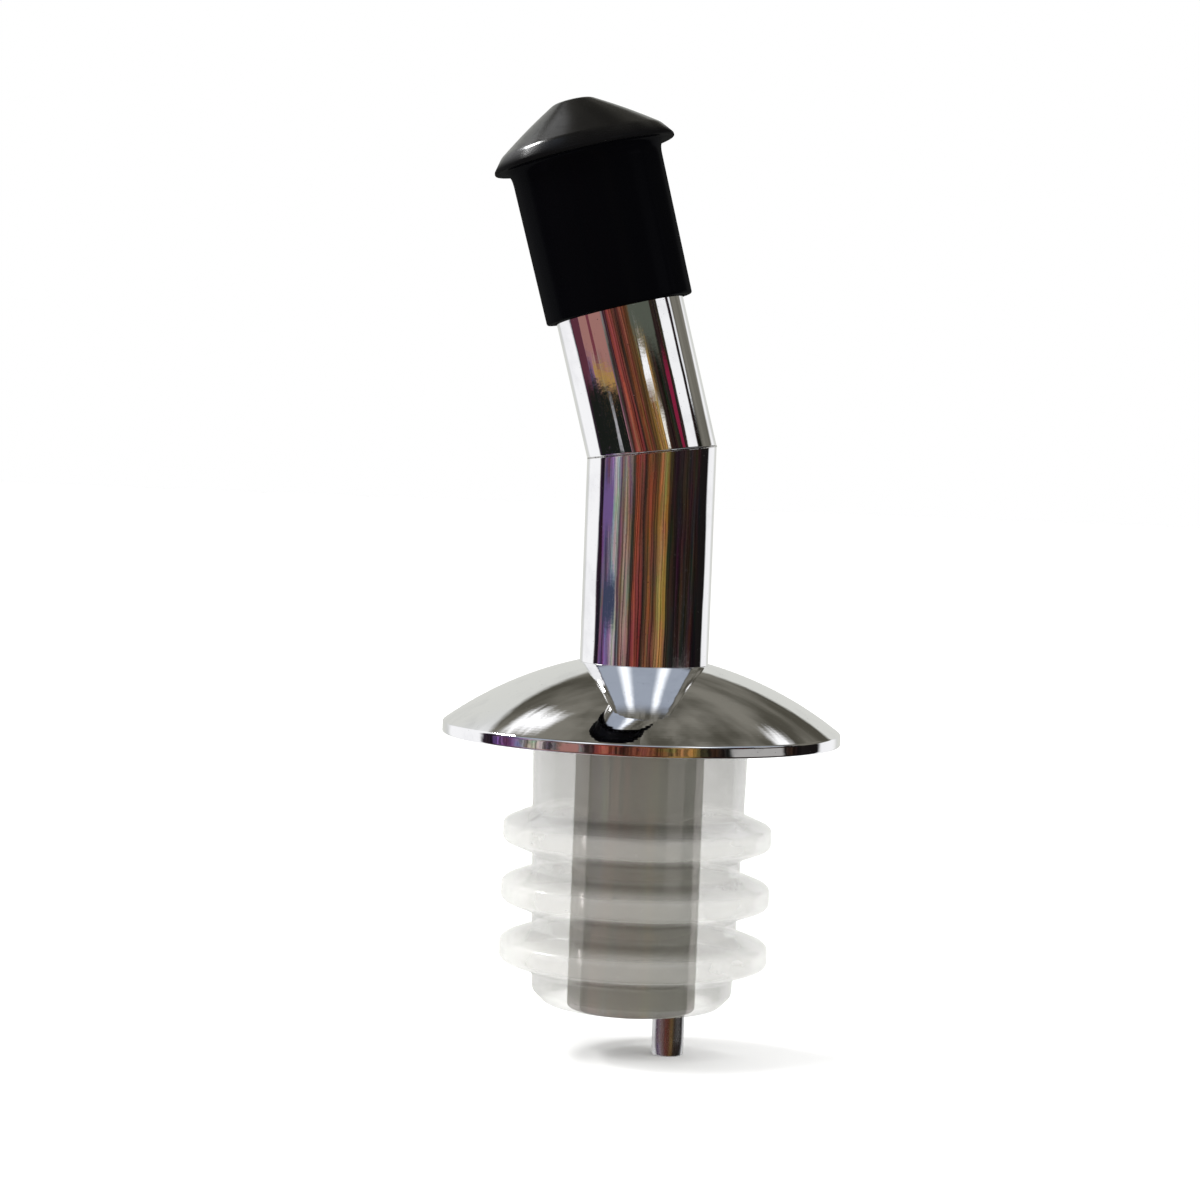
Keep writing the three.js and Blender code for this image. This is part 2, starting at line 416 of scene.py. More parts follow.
class Shader:
    """One node tree under construction."""

    MIX_A, MIX_B, MIX_RESULT = 6, 7, 2

    def __init__(self, tree: bpy.types.NodeTree) -> None:
        """Empties the tree."""
        self.tree = tree
        tree.nodes.clear()

    def node(
        self,
        kind: str,
        inputs: Optional[Inputs] = None,
        settings: Optional[dict[str, Any]] = None,
        output: Union[str, int] = 0,
    ) -> Signal:
        """Adds one node.

        Args:
            kind: The node's type.
            inputs: Values or signals for its inputs.
            settings: Its own properties, set before the inputs.
            output: The output that is wanted.

        Returns:
            The wanted output.
        """
        made = self.tree.nodes.new(kind)
        for key, value in (settings or {}).items():
            setattr(made, key, value)
        for key, value in (inputs or {}).items():
            if isinstance(value, Signal):
                self.tree.links.new(value.socket, made.inputs[key])
            else:
                made.inputs[key].default_value = value
        return Signal(self, made.outputs[output] if len(made.outputs) else None)

    def ramp(self, share: Signal, stops: Sequence[Stop]) -> Signal:
        """Adds a colour ramp.

        Args:
            share: Where on the ramp, from 0 to 1.
            stops: Places and colours in rising order, the first of them at 0.

        Returns:
            The ramp's colour there.
        """
        colour = self.node("ShaderNodeValToRGB", {0: share})
        elements = colour.socket.node.color_ramp.elements
        elements.remove(elements[1])
        for place, _ in stops[1:]:
            elements.new(place)
        for element, (_, tone) in zip(elements, stops):
            element.color = rgba(tone)
        return colour

    def math(self, operation: str, first: Value, second: Value = 0.0) -> Signal:
        """Adds a Math node on two values."""
        return self.node("ShaderNodeMath", {0: first, 1: second}, {"operation": operation})

    def vector(self, operation: str, first: Any, second: Any) -> Signal:
        """Adds a Vector Math node on two vectors."""
        return self.node("ShaderNodeVectorMath", {0: first, 1: second}, {"operation": operation})

    def mix(self, factor: Value, first: Any, second: Any, blend: str = "MIX") -> Signal:
        """Mixes two colours.

        Args:
            factor: How much of the second colour, from 0 to 1.
            first: The first colour, as three numbers or a signal.
            second: The second colour.
            blend: How the second one is laid on the first.

        Returns:
            The mixed colour.
        """
        inputs: Inputs = {0: factor, self.MIX_A: rgba(first), self.MIX_B: rgba(second)}
        settings = {"data_type": "RGBA", "blend_type": blend}
        return self.node("ShaderNodeMix", inputs, settings, self.MIX_RESULT)

    def noise(self, place: Signal, pattern: Pattern, output: Union[str, int] = 0) -> Signal:
        """Adds a noise.

        Args:
            place: The vector that it varies over.
            pattern: Its scale, detail and stretch.
            output: The output that is wanted, by default its value from 0 to 1.

        Returns:
            The wanted output.
        """
        inputs: Inputs = {
            "Vector": self.vector("MULTIPLY", place, pattern.stretch),
            "Scale": pattern.scale,
            "Detail": pattern.detail,
            "Roughness": pattern.rough,
        }
        return self.node("ShaderNodeTexNoise", inputs, output=output)

    def parts(self, vector: Signal) -> tuple[Signal, Signal, Signal]:
        """Takes a vector apart.

        Args:
            vector: The vector.

        Returns:
            Its three parts.
        """
        first = self.node("ShaderNodeSeparateXYZ", {0: vector})
        outputs = first.socket.node.outputs
        return first, Signal(self, outputs[1]), Signal(self, outputs[2])

    def radius(self, place: Signal) -> Signal:
        """Distance from the Z axis: the length of (x, y, 0)."""
        level = self.vector("MULTIPLY", place, (1.0, 1.0, 0.0))
        return self.node("ShaderNodeVectorMath", {0: level}, {"operation": "LENGTH"}, "Value")

    def bump(self, height: Signal, depth: float, below: Optional[Signal] = None) -> Signal:
        """Adds a bump.

        Args:
            height: Its height, from 0 to 1.
            depth: What its full height measures, in millimetres.
            below: The normal of a bump that it lies on, if any.

        Returns:
            The bumped normal.
        """
        inputs: Inputs = {"Height": height, "Distance": depth * MM}
        if below is not None:
            inputs["Normal"] = below
        return self.node("ShaderNodeBump", inputs)


# ---- Finishes ---------------------------------------------------------------


@dataclass(frozen=True)
class Finish:
    """A surface finish. Its pattern lies in an upright frame, or in a leaning one."""

    lean: Optional[Lean] = None

    def paint(self, shader: Shader, place: Signal) -> Inputs:
        """Builds the pattern.

        Args:
            shader: The material's tree.
            place: The place on the piece, in millimetres.

        Returns:
            The surface shader's inputs.
        """
        raise NotImplementedError

    def material(self, name: str) -> bpy.types.Material:
        """Makes the material.

        Args:
            name: Its name.

        Returns:
            The material.
        """
        made = bpy.data.materials.new(name)
        made.use_nodes = True
        shader = Shader(made.node_tree)
        surface = shader.node("ShaderNodeBsdfPrincipled", self.paint(shader, self.place(shader)))
        shader.node("ShaderNodeOutputMaterial", {"Surface": surface})
        return made

    def place(self, shader: Shader) -> Signal:
        """Finds the place on the piece.

        Args:
            shader: The material's tree.

        Returns:
            Object coordinates in millimetres, turned upright where the piece leans.
        """
        raw = shader.node("ShaderNodeTexCoord", output="Object")
        inputs: Inputs = {"Vector": raw, "Scale": (1 / MM,) * 3}
        if self.lean is not None:
            angle, height = self.lean.angle, self.lean.height
            inputs["Rotation"] = (0.0, angle, 0.0)
            inputs["Location"] = (-height * math.sin(angle), 0.0, -height * math.cos(angle))
        return shader.node("ShaderNodeMapping", inputs)


@dataclass(frozen=True)
class ChromePlate(Finish):
    """Mirror-bright plating, with the waves of the sheet under it, smears and hairline scratches.

    Below a height its colour is darkened: painted shade where the plating is seen through the stopper,
    standing in for its dimmer reflections there.
    """

    bright: Colour = (0.93, 0.93, 0.94)
    deep: Colour = (0.80, 0.80, 0.82)
    speck_tone: Colour = (0.42, 0.41, 0.40)
    # painted shade: the darker colour of the plating inside the stopper
    sunk_shade_tone: Colour = (0.42, 0.385, 0.375)
    sunk_below: float = -100.0
    sunk_edge: float = 0.1
    polish: float = 0.018
    smear: float = 0.035
    scratch_dull: float = 0.05
    speck_dull: float = 0.22
    cloud_share: float = 0.6
    speck_share: float = 0.55
    wave_depth: float = 0.010
    peel_depth: float = 0.0006

    waves: Pattern = Pattern(0.5, stretch=(1.0, 1.0, 0.22))
    peel: Pattern = Pattern(2.6, 3.0)
    hair: Pattern = Pattern(1.0, 4.0, 0.7, (9.0, 9.0, 0.35))
    cloud: Pattern = Pattern(0.32, 4.0, 0.6)
    speck: Pattern = Pattern(5.5)
    scratched: Corner = (0.56, 0.585, 0.012)
    clouded: Span = (0.48, 0.72)
    specked: Span = (0.70, 0.76)

    def paint(self, shader: Shader, place: Signal) -> Inputs:
        """Long waves bend the mirror images, and smears and hairlines dull it in places.

        Args:
            shader: The material's tree.
            place: The place on the piece, in millimetres.

        Returns:
            The surface shader's inputs.
        """
        scratch = shader.noise(place, self.hair).between(*self.scratched)
        cloud = shader.noise(place, self.cloud).rise(*self.clouded)
        speck = shader.noise(place, self.speck).rise(*self.specked)
        # painted shade: darkens the plating below the stopper's top
        sunk_shade_mask = 1 - shader.parts(place)[2].rise(self.sunk_below - self.sunk_edge, self.sunk_below)
        tone = shader.mix(cloud * self.cloud_share, self.bright, self.deep)
        tone = shader.mix(speck * self.speck_share, tone, self.speck_tone)
        normal = shader.bump(shader.noise(place, self.waves), self.wave_depth)
        return {
            "Base Color": shader.mix(sunk_shade_mask, tone, self.sunk_shade_tone),
            "Metallic": 1.0,
            "Roughness": (
                self.polish + self.smear * cloud + self.scratch_dull * scratch + self.speck_dull * speck
            ),
            "Normal": shader.bump(shader.noise(place, self.peel), self.peel_depth, normal),
        }


@dataclass(frozen=True)
class SatinRubber(Finish):
    """Black moulded rubber: a dead black sleeve, and a hat with a soft sheen and a little dust."""

    skin: Colour = (0.0010, 0.0010, 0.0014)
    dust: Colour = (0.020, 0.019, 0.017)
    sleeve_shine: float = 0.04
    hat_shine: float = 0.9
    hat_foot: Span = (23.6, 24.6)
    brim_rub: Span = (6.4, 7.05)
    patch_dust: float = 0.20
    rub_dust: float = 0.10
    patch_dull: float = 0.5
    skin_rough: float = 0.5
    shine_rough: float = 0.19
    flow_depth: float = 0.012
    grain_depth: float = 0.004

    flow: Pattern = Pattern(0.9, 3.0, stretch=(1.0, 1.0, 0.25))
    grain: Pattern = Pattern(11.0, 3.0, 0.6)
    patch: Pattern = Pattern(1.7, 5.0, 0.65)
    patched: Span = (0.50, 0.82)

    def paint(self, shader: Shader, place: Signal) -> Inputs:
        """Grain and flow marks all over, dust in patches, and a brim rubbed by fingers.

        Args:
            shader: The material's tree.
            place: The place on the piece, in millimetres.

        Returns:
            The surface shader's inputs.
        """
        hat = shader.parts(place)[2].rise(*self.hat_foot)
        rubbed = shader.radius(place).rise(*self.brim_rub)
        patch = shader.noise(place, self.patch).rise(*self.patched)
        dusty = patch * self.patch_dust * hat + rubbed * self.rub_dust
        extra = (self.hat_shine - self.sleeve_shine) * hat * (1 - self.patch_dull * patch)
        normal = shader.bump(shader.noise(place, self.flow), self.flow_depth)
        return {
            "Base Color": shader.mix(dusty, self.skin, self.dust),
            "Roughness": self.skin_rough,
            "Specular IOR Level": 0.0,
            "Coat Weight": self.sleeve_shine + extra,
            "Coat Roughness": self.shine_rough,
            "Normal": shader.bump(shader.noise(place, self.grain), self.grain_depth, normal),
        }


@dataclass(frozen=True)
class MilkyPlastic(Finish):
    """Translucent milky plastic: clear at the bore, cloudy in the body, paler at the rings' rims."""

    pale: Colour = (0.29, 0.284, 0.245)
    cloud: Colour = (0.20, 0.197, 0.168)
    ridge: Colour = (0.43, 0.425, 0.39)
    scuffed: Colour = (0.75, 0.75, 0.72)
    scuff_share: float = 0.22

    bore_alpha: float = 0.03
    body_alpha: float = 0.44
    ring_alpha: float = -0.03
    drift_alpha: float = 0.10
    scuff_alpha: float = 0.02
    body_wall: Span = (5.3, 7.8)
    ring_wall: Span = (8.6, 10.3)

    gloss: float = 0.13
    drift_dull: float = 0.12
    scuff_dull: float = 0.08
    index: float = 1.49
    coat: float = 0.6
    coat_rough: float = 0.06
    turning_depth: float = 0.03
    skin_depth: float = 0.006

    drift: Pattern = Pattern(0.35, 4.0, 0.55, (1.0, 1.0, 1.8))
    scuff: Pattern = Pattern(2.8, 5.0, 0.7)
    scuff_rise: Span = (0.60, 0.80)
    turning: Pattern = Pattern(2.2, 3.0, stretch=(0.6, 1.0, 1.0))
    skin: Pattern = Pattern(3.5, 3.0)

    def paint(self, shader: Shader, place: Signal) -> Inputs:
        """Clouds drift through the body, and fine rings of the mould mark the skin.

        Args:
            shader: The material's tree.
            place: The place on the piece, in millimetres.

        Returns:
            The surface shader's inputs.
        """
        radius = shader.radius(place)
        drift = shader.noise(place, self.drift)
        thick = radius.rise(*self.ring_wall)
        scuff = shader.noise(place, self.scuff).rise(*self.scuff_rise)
        tone = shader.mix(thick, shader.mix(drift, self.pale, self.cloud), self.ridge)
        dense = self.bore_alpha + self.body_alpha * radius.rise(*self.body_wall)
        dense = dense + self.ring_alpha * thick + self.drift_alpha * drift + self.scuff_alpha * scuff
        section = shader.node("ShaderNodeCombineXYZ", {0: radius, 2: shader.parts(place)[2]})
        normal = shader.bump(shader.noise(section, self.turning), self.turning_depth)
        return {
            "Base Color": shader.mix(scuff * self.scuff_share, tone, self.scuffed),
            "Alpha": dense,
            "Roughness": self.gloss + self.drift_dull * drift + self.scuff_dull * scuff,
            "IOR": self.index,
            "Coat Weight": self.coat,
            "Coat Roughness": self.coat_rough,
            "Normal": shader.bump(shader.noise(place, self.skin), self.skin_depth, normal),
        }


@dataclass(frozen=True)
class DrawnSteel(Finish):
    """Plain drawn steel: fine lines along the tube and a soft, uneven shine."""

    light: Colour = (0.62, 0.62, 0.63)
    dark: Colour = (0.40, 0.39, 0.38)
    stain_share: float = 0.6
    line_share: float = 0.2
    shine: float = 0.20
    line_dull: float = 0.14
    stain_dull: float = 0.12
    line_depth: float = 0.006

    lines: Pattern = Pattern(1.0, 4.0, 0.65, (14.0, 14.0, 0.4))
    stain: Pattern = Pattern(0.8, 4.0, 0.6)
    stained: Span = (0.5, 0.8)

    def paint(self, shader: Shader, place: Signal) -> Inputs:
        """Lines run along the tube, and stains darken it in places.

        Args:
            shader: The material's tree.
            place: The place on the piece, in millimetres.

        Returns:
            The surface shader's inputs.
        """
        lines = shader.noise(place, self.lines)
        stain = shader.noise(place, self.stain).rise(*self.stained)
        darker = stain * self.stain_share + lines * self.line_share
        return {
            "Base Color": shader.mix(darker, self.light, self.dark),
            "Metallic": 1.0,
            "Roughness": self.shine + self.line_dull * lines + self.stain_dull * stain,
            "Normal": shader.bump(lines, self.line_depth),
        }


@dataclass(frozen=True)
class WhiteMoulding(Finish):
    """Matt white moulded plastic with a fine grain and grey stains from use."""

    clean: Colour = (0.76, 0.76, 0.72)
    dirty: Colour = (0.55, 0.53, 0.47)
    stain_share: float = 0.6
    matt: float = 0.42
    grain_dull: float = 0.12
    grain_depth: float = 0.008

    grain: Pattern = Pattern(6.0, 3.0)
    stain: Pattern = Pattern(0.9, 5.0, 0.6)
    stained: Span = (0.45, 0.8)

    def paint(self, shader: Shader, place: Signal) -> Inputs:
        """A fine grain, and stains that gather in patches.

        Args:
            shader: The material's tree.
            place: The place on the piece, in millimetres.

        Returns:
            The surface shader's inputs.
        """
        grain = shader.noise(place, self.grain)
        stain = shader.noise(place, self.stain).rise(*self.stained)
        return {
            "Base Color": shader.mix(stain * self.stain_share, self.clean, self.dirty),
            "Roughness": self.matt + self.grain_dull * grain,
            "Normal": shader.bump(grain, self.grain_depth),
        }


@dataclass(frozen=True)
class SolderSeam(Finish):
    """Plated-over solder in the mitre: duller than the tube, lumpy, with dark pits."""

    metal: Colour = (0.46, 0.45, 0.44)
    pit: Colour = (0.10, 0.095, 0.09)
    pit_share: float = 0.8
    shine: float = 0.12
    pit_dull: float = 0.30
    lump_depth: float = 0.05

    lumps: Pattern = Pattern(1.9, 3.0)
    pits: Pattern = Pattern(3.1, 4.0, 0.6)
    pitted: Span = (0.52, 0.66)

    def paint(self, shader: Shader, place: Signal) -> Inputs:
        """Lumps along the seam, with tarnished pits among them.

        Args:
            shader: The material's tree.
            place: The place on the piece, in millimetres.

        Returns:
            The surface shader's inputs.
        """
        pits = shader.noise(place, self.pits).rise(*self.pitted)
        return {
            "Base Color": shader.mix(pits * self.pit_share, self.metal, self.pit),
            "Metallic": 1.0,
            "Roughness": self.shine + self.pit_dull * pits,
            "Normal": shader.bump(shader.noise(place, self.lumps), self.lump_depth),
        }


@dataclass(frozen=True)
class PaleFloor(Finish):
    """A plain pale studio floor."""

    paper: Colour = (0.93, 0.93, 0.925)
    shade: Colour = (0.88, 0.88, 0.88)
    shade_share: float = 0.1
    matt: float = 0.9
    sheen: float = 0.1

    tone: Pattern = Pattern(0.02)

    def paint(self, shader: Shader, place: Signal) -> Inputs:
        """Paper with hardly any tone in it.

        Args:
            shader: The material's tree.
            place: The place on the floor, in millimetres.

        Returns:
            The surface shader's inputs.
        """
        tone = shader.noise(place, self.tone)
        return {
            "Base Color": shader.mix(tone * self.shade_share, self.paper, self.shade),
            "Roughness": self.matt,
            "Specular IOR Level": self.sheen,
        }


def dress(
    piece: bpy.types.Object, finish: Finish, body: Body, stands_for: Sequence[str]
) -> None:
    """Gives a piece its finish, puts it under its body and hides the frame's parts that it replaces.

    Args:
        piece: The finished piece.
        finish: Its surface finish.
        body: The body that it moves with.
        stands_for: The parts of the frame that it replaces, if any.
    """
    piece.data.materials.append(finish.material(piece.name + "_finish"))
    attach(piece, body.value)
    if stands_for:
        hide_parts(*stands_for)
    LOG.info("%s: %d faces on %s", piece.name, len(piece.data.polygons), body.value)


# ---- The spout's sub-assemblies ---------------------------------------------


@dataclass(frozen=True)
class Tubework:
    """The chromed tube: an upright stem and a leaning nozzle, soldered at the mitre."""

    lean: Lean
    wall: float = 0.65
    foot_round: float = 0.2
    inner_round: float = 0.1
    edge_round: float = 0.09
    tip_round: float = 0.2
    joint_gap: float = 0.03
    tip_slant: float = math.radians(25.0)
    seam_sink: float = 0.10
    seam_size: float = 0.12
    seam_segments: int = 24

    def section(self, radius: float, ends: Span, rounds: Span) -> Array:
        """A tube wall's outline.

        Args:
            radius: Outside radius.
            ends: Heights of the low and the high end.
            rounds: Rounds of the low and the high outer edge.

        Returns:
            The closed outline.
        """
        inner = radius - self.wall
        corners = [
            (inner, ends[0], self.inner_round),
            (radius, ends[0], rounds[0]),
            (radius, ends[1], rounds[1]),
            (inner, ends[1], self.inner_round),
        ]
        return rounded_outline(corners, closed=True)

    def stem(self) -> bpy.types.Object:
        """Makes the lower length, square at its foot and cut at half the bend on top.

        Returns:
            The piece.
        """
        reach = Reach.of("stem_tube")
        ends = (reach.low, self.lean.height - self.joint_gap / 2)
        outline = self.section(reach.radius, ends, (self.foot_round, self.edge_round))
        grid = slanted(turned(outline), ends, (0.0, self.lean.half_slope))
        return build_mesh("stem_plated", grid, closed_outline=True)

    def nozzle(self) -> bpy.types.Object:
        """Makes the upper length, cut at half the bend below and slanted at its pouring tip.

        Returns:
            The piece.
        """
        reach = Reach.of("nozzle_tube", self.lean)
        slope = math.tan(self.tip_slant)
        ends = (self.joint_gap / 2, reach.high - reach.radius * slope)
        rounds = (self.edge_round, self.tip_round)
        outline = self.section(Reach.of("stem_tube").radius, ends, rounds)
        grid = slanted(turned(outline), ends, (-self.lean.half_slope, -slope))
        return build_mesh("nozzle_plated", self.lean.place(grid), closed_outline=True)

    def seam(self) -> bpy.types.Object:
        """Makes the bead of solder in the mitre: a small circle carried round the cut's ellipse.

        With s the bead's radius and t the slope of the cut, at turn a and section b:
        r = R + s cos b, x = r cos a, y = r sin a, z = h + t x + s sin b.

        Returns:
            The piece.
        """
        radius = Reach.of("stem_tube").radius - self.seam_sink
        turn = np.linspace(0.0, 2 * np.pi, TURN_SEGMENTS, endpoint=False)[:, None]
        section = np.linspace(0.0, 2 * np.pi, self.seam_segments, endpoint=False)[None, :]
        reach = radius + self.seam_size * np.cos(section)
        x, y = reach * np.cos(turn), reach * np.sin(turn)
        z = self.lean.height + self.lean.half_slope * x + self.seam_size * np.sin(section)
        return build_mesh("mitre_solder", np.stack([x, y, z], axis=-1), closed_outline=True)

    def build(self) -> None:
        """Makes and dresses the three pieces."""
        # the stem's plating gets painted shade below the stopper's top
        stem = ChromePlate(sunk_below=Reach.of("stopper").high)
        dress(self.stem(), stem, Body.SPOUT, ["stem_tube"])
        dress(self.nozzle(), ChromePlate(lean=self.lean), Body.SPOUT, ["nozzle_tube"])
        dress(self.seam(), SolderSeam(), Body.SPOUT, [])


@dataclass(frozen=True)
class DripCollar:
    """The pressed dome with an upright rim band and a neck turned down round the stem."""

    bore: float
    sheet: float = 0.7
    rim_band: float = 0.86
    crown_radius: float = 29.0
    lip_round: float = 0.25
    neck_foot: float = 3.2
    neck_round: float = 0.06
    neck_gap: float = 0.05
    edge_round: float = 0.12
    edge_gap: float = 0.25
    crown_steps: int = 44
    finish: ChromePlate = ChromePlate(waves=Pattern(0.5), smear=0.025)

    def crown(self, reach: Reach, depth: float, start: float, end: float) -> list[Corner]:
        """Points along the crown, or along its underside.

        The crown is the arc of the crown radius from the lip's top to the rim band's top,
        with its centre below them, and the underside is the same arc less a depth.

        Args:
            reach: The collar's size.
            depth: How far below the crown the points lie.
            start: Radius of the first point.
            end: Radius of the last point.

        Returns:
            The points, as corners without a round.
        """
        crest = np.array([self.bore + self.lip_round, reach.high])
        rim = np.array([reach.radius, self.rim_band])
        chord = rim - crest
        half = np.linalg.norm(chord) / 2
        inward = np.array([chord[1], -chord[0]]) / (2 * half)
        centre = (crest + rim) / 2 + inward * math.sqrt(self.crown_radius**2 - half**2)
        radius = np.linspace(start, end, self.crown_steps)
        height = centre[1] + np.sqrt((self.crown_radius - depth) ** 2 - (radius - centre[0]) ** 2)
        return [(r, h, 0.0) for r, h in zip(radius, height)]

    def pressing(self) -> bpy.types.Object:
        """Makes the whole collar, one sheet thick everywhere.

        Returns:
            The piece.
        """
        reach = Reach.of("drip_collar")
        rim, neck = reach.radius, self.bore + self.sheet
        inner = rim - self.sheet
        corners = [
            (self.bore, self.neck_foot, self.neck_round),
            (neck, self.neck_foot, self.neck_round),
            *self.crown(reach, self.sheet, neck + self.neck_gap, inner),
            (inner, 0.0, self.edge_round),
            (rim, 0.0, self.edge_round),
            (rim, self.rim_band, self.edge_round),
            *self.crown(reach, 0.0, rim - self.edge_gap, self.bore + self.lip_round),
            (self.bore, reach.high, self.lip_round),
        ]
        return build_mesh("collar_pressing", turned(rounded_outline(corners, True)), True)

    def build(self) -> None:
        """Makes and dresses the collar."""
        dress(self.pressing(), self.finish, Body.SPOUT, ["drip_collar"])


@dataclass(frozen=True)
class Stopper:
    """The milky plug: a body that narrows downwards, sealing rings and a lead-in at its foot."""

    bore: float
    diameter: float = 16.9
    taper: float = 0.06
    lead_in: float = 0.9
    ring_root: float = 3.4
    ring_land: float = 1.5
    ring_pitch: float = 4.62
    ring_first: float = 7.5
    ring_count: int = 3
    shoulder_height: float = 3.05
    shoulder_radius: float = 5.75
    flank_height: float = 2.75
    bore_round: float = 0.1
    shoulder_round: float = 0.2
    flank_round: float = 0.35
    root_round: float = 0.3
    land_round: float = 0.4
    foot_round: float = 0.2

    def radius(self, height: float) -> float:
        """The body's radius at a height."""
        return (self.diameter + self.taper * min(height, 0.0)) / 2

    def ring(self, index: int, rim: float) -> list[Corner]:
        """One sealing ring: two slanted sides up to a narrow land, counted from the top.

        Args:
            index: The ring's number.
            rim: The ring's outer radius.

        Returns:
            Its four corners, from its top side down.
        """
        centre = -self.ring_first - self.ring_pitch * index
        top, foot = centre + self.ring_root / 2, centre - self.ring_root / 2
        return [
            (self.radius(top), top, self.root_round),
            (rim, centre + self.ring_land / 2, self.land_round),
            (rim, centre - self.ring_land / 2, self.land_round),
            (self.radius(foot), foot, self.root_round),
        ]

    def moulding(self) -> bpy.types.Object:
        """Makes the whole plug, with its bore.

        Returns:
            The piece.
        """
        reach = Reach.of("stopper")
        foot = self.radius(reach.low)
        rings = [corner for i in range(self.ring_count) for corner in self.ring(i, reach.radius)]
        corners = [
            (self.bore, self.shoulder_height, self.bore_round),
            (self.shoulder_radius, self.shoulder_height, self.shoulder_round),
            (self.radius(0.0), self.flank_height, self.flank_round),
            *rings,
            (foot, reach.low + self.lead_in, self.root_round),
            (foot - self.lead_in, reach.low, self.foot_round),
            (self.bore, reach.low, self.bore_round),
        ]
        return build_mesh("stopper_moulding", turned(rounded_outline(corners, True)), True)

    def build(self) -> None:
        """Makes and dresses the stopper."""
        dress(self.moulding(), MilkyPlastic(), Body.SPOUT, ["stopper"])


@dataclass(frozen=True)
class Breather:
    """The thin air tube beside the stem's wall, round the bend and up to below the tip."""

    lean: Lean
    radius: float = 1.25
    wall: float = 0.35
    bend_radius: float = 8.0
    end_round: float = 0.08
    run_points: int = 40
    bend_points: int = 24
    sides: int = 48

    def route(self) -> Array:
        """The centre line: a straight, a quadratic curve round the corner, and a straight.

        Returns:
            Points in the XZ plane, evenly spread along each stretch.
        """
        upright = Reach.of("breather_tube")
        leaning = Reach.of("breather_tube", self.lean)
        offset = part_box("breather_tube")[1].x / MM - self.radius
        slope = self.lean.half_slope
        corner = np.array([offset, 0.0, self.lean.height + offset * slope])
        up = np.array([-math.sin(self.lean.angle), 0.0, math.cos(self.lean.angle)])
        foot = np.array([offset, 0.0, upright.low])
        end = corner + up * (leaning.high + offset * slope)
        before = corner - np.array([0.0, 0.0, self.bend_radius * slope])
        after = corner + up * self.bend_radius * slope
        run = np.linspace(0.0, 1.0, self.run_points)[:, None]
        turn = np.linspace(0.0, 1.0, self.bend_points)[1:-1, None]
        curve = (1 - turn) ** 2 * before + 2 * turn * (1 - turn) * corner + turn**2 * after
        return np.concatenate([foot + (before - foot) * run, curve, after + (end - after) * run])

    def pipe(self) -> bpy.types.Object:
        """Makes the tube: a circle carried along the centre line, up outside and down inside.

        At a point p of the line with side n, its circle is p + r (n cos a + y sin a).

        Returns:
            The piece.
        """
        line = self.route()
        tangent = np.gradient(line, axis=0)
        tangent /= np.linalg.norm(tangent, axis=1)[:, None]
        side = np.stack([-tangent[:, 2], np.zeros(len(line)), tangent[:, 0]], axis=-1)
        inner = self.radius - self.wall
        first = line[:1] + tangent[:1] * self.end_round
        last = line[-1:] - tangent[-1:] * self.end_round
        outer_line = np.concatenate([line[:1], first, line[1:-1], last, line[-1:]])
        outer_side = np.concatenate([side[:1], side, side[-1:]])
        outer_radius = np.full(len(outer_line), self.radius)
        outer_radius[[0, -1]] -= self.end_round
        rows = np.concatenate([outer_line, line[::-1]])
        sides = np.concatenate([outer_side, side[::-1]])
        radii = np.concatenate([outer_radius, np.full(len(line), inner)])[:, None, None]
        turn = np.linspace(0.0, 2 * np.pi, self.sides, endpoint=False)[None, :, None]
        level = np.array([0.0, 1.0, 0.0])
        ring = rows[:, None, :] + radii * (np.cos(turn) * sides[:, None, :] + np.sin(turn) * level)
        return build_mesh("breather_pipe", ring, closed_outline=True)

    def build(self) -> None:
        """Makes and dresses the tube, and dresses its holder."""
        dress(self.pipe(), DrawnSteel(), Body.SPOUT, ["breather_tube"])
        holder = frame["nodes"]["breather_holder"]
        finish = WhiteMoulding().material("holder_finish")
        if holder.material_slots:
            holder.material_slots[0].link = "OBJECT"
            holder.material_slots[0].material = finish
        else:
            holder.data.materials.append(finish)
        LOG.info("breather_holder: kept from the frame")


